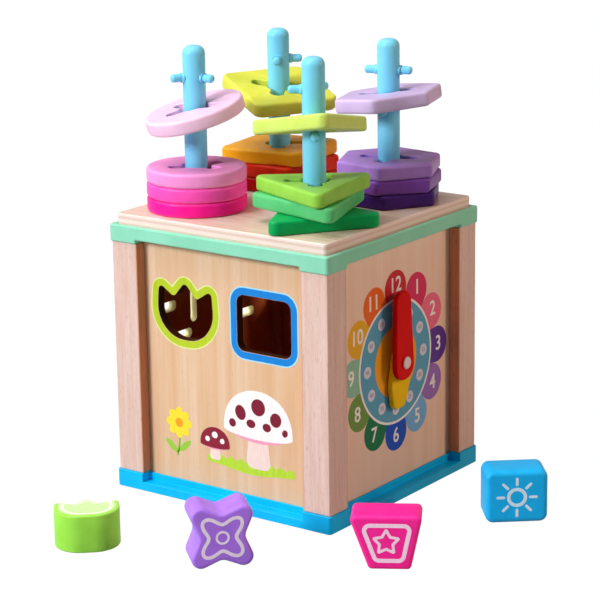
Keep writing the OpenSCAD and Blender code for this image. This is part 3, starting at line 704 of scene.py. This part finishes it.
for kind, stack in STACKS.items():
    x, y = stack["at"]
    peg = dowel_points + (x, y, 0), dowel_faces
    solid(f"dowel_{kind}s", [peg], peg_blue, "lid", f"peg_{kind}s")
    pins = []
    lower = [(stack["lower"], LID_TOP + stack["lower_h"])]
    for turn, z in [(upper, UPPER_PIN_Z) for upper in stack["upper"]] + lower:
        a = np.radians(turn)
        axes = np.array([(-np.sin(a), np.cos(a), 0), (0, 0, 1), (np.cos(a), np.sin(a), 0)])  # side, up, out
        pins.append((pin_points @ axes + (x, y, z), pin_faces))
    solid(f"stops_{kind}s", pins, peg_blue, "lid", f"pins_{kind}s")

# Stacking pieces: four each of discs, squares, triangles and hexagons, 7.5 mm birch plywood with rounded
# edges and satin lacquer, from deep to pale up the peg. Three slots at the hole let the pins through.

PIECE_T, EDGE_ROUND, HOLE_ROUND = 7.5, 1.6, 0.6
HOLE_R, SLOT_R, SLOT_REACH = 7.5, 3.6, 15.0  # the hole, and half the width and the reach of its slots
COLUMNS = 540  # points round a piece


def regular(count, reach):
    """Corners of a regular polygon at the given radius, the first one along X."""
    a = np.arange(count) * 2 * np.pi / count
    return reach * np.column_stack([np.cos(a), np.sin(a)])


around, unit = np.arange(COLUMNS) * 2 * np.pi / COLUMNS, regular(COLUMNS, 1)
RIMS = {
    "disc": 25.5 * unit,
    "square": rounded([(-23.75, -23.75), (23.75, -23.75), (23.75, 23.75), (-23.75, 23.75)], 5.0, 24),
    "triangle": rounded(regular(3, 62.5 / 3 ** 0.5), 4.0, 24),
    "hexagon": rounded(regular(6, 28.5), 3.0, 24)}
# Turns of the three pieces on the lid, in degrees
TURNS = {"disc": (0, 0, 0), "square": (4, -2, 7.5), "triangle": (24, -41.5, -51.5), "hexagon": (-2, -10, -6)}
# Raised pieces: turn, height over the lid, tilt, side that is up, and direction of the third slot
RAISED = {"disc": (0, 49.1, 15, 53, 165), "square": (-117.7, 49.9, 13, 150, -154),
          "triangle": (-166, 50.3, 13.1, -47, -1), "hexagon": (-131.5, 52.7, 7.2, 14, 104)}
# From the lid up: colour, its denser tone, and the lighter tone of a rounded edge, partly wear and partly
# painted highlight
COATS = {
    "disc": (("#FF1F9C", "#F5128F", "#FF6FBE"), ("#FF55BA", "#F84AB0", "#FF8FD0"),
             ("#F99ADA", "#F690D2", "#FCC0E8"), ("#F7CDE8", "#F3C3E2", "#FBE2F2")),
    "square": (("#B80E08", "#AA0806", "#D8493A"), ("#DC2E0C", "#D02608", "#E8583A"),
               ("#EAA614", "#E29A0E", "#F2BE50"), ("#DEE252", "#D5D846", "#EBEE86")),
    "triangle": (("#04A858", "#039E50", "#30BC78"), ("#5CC278", "#52B86E", "#82D298"),
                 ("#92CE4C", "#88C442", "#AEDC7A"), ("#C8E06C", "#C0D860", "#DCEC9A")),
    "hexagon": (("#45207A", "#3C1A6E", "#64409A"), ("#7C46AA", "#7240A0", "#9468BE"),
                ("#A880D0", "#9E76C6", "#BE9CDC"), ("#D0BAE4", "#C8B0DE", "#E0D0EE"))}


def pierced_outline(slots):
    """Hole with slots, in polar form: at each angle the largest of the hole's radius and every slot's reach
    (half its width over the sine along its sides, a circle at its end), softened over about 2 degrees."""
    reach = np.full(COLUMNS, HOLE_R)
    middle = SLOT_REACH - SLOT_R
    for turn in slots:
        off = np.abs((around - np.radians(turn) + np.pi) % (2 * np.pi) - np.pi)
        sine = np.maximum(np.sin(off), 1e-6)
        end = middle * np.cos(off) + np.sqrt(np.maximum(SLOT_R ** 2 - (middle * sine) ** 2, 0))
        slot = np.where(off < np.arctan2(SLOT_R, middle), end, SLOT_R / sine)
        reach = np.maximum(reach, np.where(off < np.pi / 2, slot, 0))
    weights = np.exp(-0.5 * (np.arange(-6, 7) / 2.2) ** 2)
    soft = sum(w * np.roll(reach, k) for w, k in zip(weights / weights.sum(), range(-6, 7)))
    return soft[:, None] * unit


def turned_rim(kind, turn):
    """Outer outline in polar form at the grid's angles, turned by turn degrees about the hole."""
    rim = spaced(RIMS[kind], 1800)
    angle = np.arctan2(rim[:, 1], rim[:, 0]) + np.radians(turn)
    return np.interp(around, angle, np.hypot(*rim.T), period=2 * np.pi)[:, None] * unit


for kind, stack in STACKS.items():
    for level in range(4):
        node = f"{kind}_{level + 1}"
        if level < 3:
            turn, high, tilt, side, third = TURNS[kind][level], (level + 0.5) * PIECE_T, 0, 0, stack["lower"]
        else:
            turn, high, tilt, side, third = RAISED[kind]
        rim, hole = turned_rim(kind, turn), pierced_outline((*stack["upper"], third))
        points, faces, edge = pierced_plate(rim, hole, -PIECE_T / 2, PIECE_T / 2, EDGE_ROUND, HOLE_ROUND)
        hinge = Vector((np.sin(np.radians(side)), -np.cos(np.radians(side)), 0))
        points = points @ np.array(Matrix.Rotation(np.radians(tilt), 3, hinge)).T
        coat = lacquered(f"lacquer_satin_{node}", *COATS[kind][level], 0.33)
        solid(f"stack_{node}", [(points + (*stack["at"], LID_TOP + high), faces)], coat, node, node,
              edge)

# Loose blocks: four posting blocks cut from solid birch, with well-rounded edges and satin lacquer, and a
# plain pale motif printed on the face. The tulip lies flat, the others stand on edge.


def slab(outline, low, high, bend):
    """Solid plate: its rim rows carried round the outline, closed by one flat face below and above."""
    rim, n = edge_rows(low, high, bend, 7), len(outline)
    rows = outline[None] - outward(outline)[None] * rim[:, 0, None, None]
    points = np.dstack([rows, np.repeat(rim[:, 1, None], n, 1)]).reshape(-1, 3)
    return points, capped(len(rim), n), np.repeat(rim[:, 2], n)


def star(points_count, outer, inner):
    """Corners of a star, a far and a near one in turn, the first one straight up."""
    a = np.pi / 2 + np.arange(2 * points_count) * np.pi / points_count
    r = np.where(np.arange(2 * points_count) % 2, inner, outer)
    return np.column_stack([r * np.cos(a), r * np.sin(a)])


def ring_line(corners, radius, width):
    """A printed closed line: the band between the outline, its corners rounded, and the same outline a width
    further in, its corners rounded by a width less."""
    inner, _ = widened(corners, radius, -width)
    return band(rounded(corners, radius), rounded(inner, max(radius - width, 0.4)), INK)


def wave_ring(reach, depth, lobes, width, turn=0.0):
    """A printed closed wavy line: radius reach times 1 + depth cos(lobes a), and the same further in."""
    a = np.linspace(0, 2 * np.pi, 160, endpoint=False)
    way = np.column_stack([np.cos(a + np.radians(turn)), np.sin(a + np.radians(turn))])
    outer = way * (reach * (1 + depth * np.cos(lobes * a)))[:, None]
    return band(outer, outer - outward(outer) * width, INK)


INK = 2 * INK_STEP  # height of the printed lines on the blocks
LINE = 1.7  # their usual width
PRINT_ROOM = 0.1  # the lying block's face stays this much under its CAD top, for the print
TULIP = (np.array([(-16.6, -12.6), (16.6, -12.6), (15.6, 9.4), (6.6, 4.6), (0, 12.2), (-6.6, 4.6),
                   (-15.6, 9.4)]), np.array([13.2, 13.2, 1.6, 2.2, 1.8, 2.2, 1.6]))
SQUARE = (np.array([(-15.5, -13.5), (15.5, -13.5), (15.5, 13.5), (-15.5, 13.5)]), np.array([4.0] * 4))
inset = [rounded(TULIP[0] * share, TULIP[1] * share) for share in (0.87, 0.79, 0.7)]
spokes = [np.outer(np.linspace(6.6, 9.6, 5), (np.cos(a), np.sin(a))) for a in np.arange(8) * np.pi / 4]
# Printed on the faces: a smaller tulip, a ring of four petals, a star in a frame, and a sun
PRINTS = {
    "tulip_block": [(*sheet(inset[0], INK), "#C8E6A6"),
                    (*band(inset[1], inset[2], 1.5 * INK), "#EEF7E2")],
    "butterfly_block": [(*ring, "#F4E8FD") for ring in (
        wave_ring(10.4, 0.28, 4, LINE, 45), wave_ring(3.4, 0.0, 4, 1.1))],
    "trapezoid_block": [(*line, "#FFDDF2") for line in (
        ring_line(widened(*TRAPEZOID, -3.6)[0], 3.6, 2.0),
        ring_line(star(5, 7.6, 4.0) + (-1.6, 0.4), 0.9, 1.3))],
    "square_block": [(*mark, "#D8F2FF") for mark in (
        wave_ring(5.0, 0.0, 1, LINE), *[sheet(stroke(spoke, 1.4), INK) for spoke in spokes])]}
# CAD node, outline, whether it lies, thickness, place, turn in degrees, edge radius, coat
BLOCKS = (
    ("tulip_block", TULIP, True, 19.2, (-23.5, -142.9), 42.2, 1.0, ("#A0E852", "#96DE48", "#BAF080")),
    ("butterfly_block", BUTTERFLY, False, 20.0, (43.2, -124.4), -41.8, 1.6,
     ("#B27EF6", "#A874EC", "#C096F8")),
    ("trapezoid_block", TRAPEZOID, False, 20.0, (112, -81), -58.5, 1.8, ("#FF2C9E", "#FC2494", "#FF50AE")),
    ("square_block", SQUARE, False, 20.0, (128, 5.5), -50, 2.6, ("#1ABAFC", "#14B2F4", "#46C8FC")))
for node, shape, lies, thick, (x, y), turn, bend, colours in BLOCKS:
    outline = spaced(rounded(*shape, 16), 360)
    a = np.radians(turn if lies else turn + 90)
    right, across = (np.cos(a), np.sin(a), 0), (np.sin(a), -np.cos(a), 0)
    if lies:
        low, high, lift = 0.0, thick - PRINT_ROOM, 0.0
        axes = np.array([right, (-across[0], -across[1], 0), (0, 0, 1)])
    else:
        low, high, lift = -thick / 2, thick / 2, -outline[:, 1].min()
        axes = np.array([right, (0, 0, 1), across])

    def stand(points, axes=axes, at=(x, y, lift)):
        """Block coordinates (right, up, out of the face) along the block's axes, from its place."""
        return points @ axes + at

    points, faces, edge = slab(outline, low, high, bend)
    coat = lacquered(f"lacquer_satin_{node}", *colours, 0.34)
    solid(f"{node}_piece", [(stand(points), faces)], coat, node, node, edge)
    marks = [(points + (0, 0, high), faces, tone) for points, faces, tone in PRINTS[node]]
    printed(f"{node}_print", marks, stand, node)

# Studio: a plain floor that runs out of sight, a large soft key light low at the front left, another
# overhead, a small warm one behind on the right, and an even surround. The camera and, more faintly, glossy
# surfaces see floor and surround as white, so that the light on the object stays at a plain level.

FLOOR_HALF, FLOOR_Z = 6, -0.0001  # metres; just under what stands on it
floor_mesh = bpy.data.meshes.new("studio_floor")
corners = ((-1, -1), (1, -1), (1, 1), (-1, 1))
floor_mesh.from_pydata([(x * FLOOR_HALF, y * FLOOR_HALF, FLOOR_Z) for x, y in corners], [], [(0, 1, 2, 3)])
floor = bpy.data.objects.new("studio_floor", floor_mesh)
bpy.context.scene.collection.objects.link(floor)
paper, tree, shader = finish("studio_paper_white", Roughness=0.9, Base_Color=linear("#A0A0A0"))
path = add(tree, "LightPath")
mirrored = add(tree, "Math", {0: path.outputs["Is Glossy Ray"], 1: 0.4}, operation="MULTIPLY")
seen = add(tree, "Math", {
    0: path.outputs["Is Camera Ray"], 1: 0.93, 2: mirrored.outputs[0]}, operation="MULTIPLY_ADD")
glow = add(tree, "Emission", {"Color": (1, 1, 1, 1), "Strength": 1.08})
both = add(tree, "MixShader", {0: seen.outputs[0], 1: shader.outputs[0], 2: glow.outputs[0]})
tree.links.new(both.outputs[0], tree.nodes["Material Output"].inputs["Surface"])
floor_mesh.materials.append(paper)

world = bpy.data.worlds.new("studio_surround")
bpy.context.scene.world = world
world.use_nodes = True
tree = world.node_tree
path = add(tree, "LightPath")
rays = add(tree, "Math", {
    0: path.outputs["Is Camera Ray"], 1: path.outputs["Is Transmission Ray"]}, operation="MAXIMUM")
level = add(tree, "MapRange", {"Value": rays.outputs[0], "To Min": 0.05, "To Max": 1.0})
mirrored = add(tree, "Math", {0: path.outputs["Is Glossy Ray"], 1: 0.5}, operation="MULTIPLY")
shown = add(tree, "Math", {0: level.outputs[0], 1: mirrored.outputs[0]}, operation="MAXIMUM")
tone = add(tree, "Mix", {
    0: rays.outputs[0], 6: linear("#FFEEE4"), 7: (1, 1, 1, 1)}, data_type="RGBA")
wire(tree, tree.nodes["Background"], Color=tone.outputs[2], Strength=shown.outputs[0])

AIM = Vector((0, 0, 0.1))  # all lamps point at the middle of the box
for name, place, size, power, tint in (
        ("key_softbox", (-0.6, -1.83, 1.0), 0.55, 38, "#FBFBFF"),
        ("top_softbox", (-0.5, -0.45, 1.7), 1.4, 28, "#FFFFFF"),
        ("side_softbox", (1.5, 0.8, 0.72), 0.4, 13, "#FFD8BC")):
    lamp = bpy.data.lights.new(name, "AREA")
    lamp.size, lamp.energy, lamp.color = size, power, linear(tint)[:3]
    holder = bpy.data.objects.new(name, lamp)
    holder.location = place
    holder.rotation_euler = (AIM - Vector(place)).to_track_quat("-Z", "Y").to_euler()
    bpy.context.scene.collection.objects.link(holder)

# Camera: at the photograph's place, about 36 degrees to the right of the front and 15 degrees up, slightly
# rolled. Its lens is given in pixels of the 600 pixel wide frame, as it was fitted to the photograph.

LENS_PX, IMAGE_PX, SENSOR_MM = 2312.15, 600, 36.0
CAMERA_AT = (0.685218, -0.934483, 0.401631)  # metres
azimuth, elevation, roll = np.radians((36.1763, 14.8504, -0.8343))
camera_data = bpy.data.cameras.new("photo_camera")
camera_data.sensor_width, camera_data.lens = SENSOR_MM, LENS_PX * SENSOR_MM / IMAGE_PX
camera_data.clip_end = 50
camera = bpy.data.objects.new("photo_camera", camera_data)
away = np.cos(elevation)
back = np.array([np.sin(azimuth) * away, -np.cos(azimuth) * away, np.sin(elevation)])
right = np.array([np.cos(azimuth), np.sin(azimuth), 0])
up = np.cross(back, right)
right, up = np.cos(roll) * right + np.sin(roll) * up, np.cos(roll) * up - np.sin(roll) * right
turned = Matrix(np.column_stack([right, up, back]).tolist()).to_4x4()
camera.matrix_world = Matrix.Translation(CAMERA_AT) @ turned
bpy.context.scene.collection.objects.link(camera)
bpy.context.scene.camera = camera
bpy.context.scene.view_settings.view_transform = "Standard"
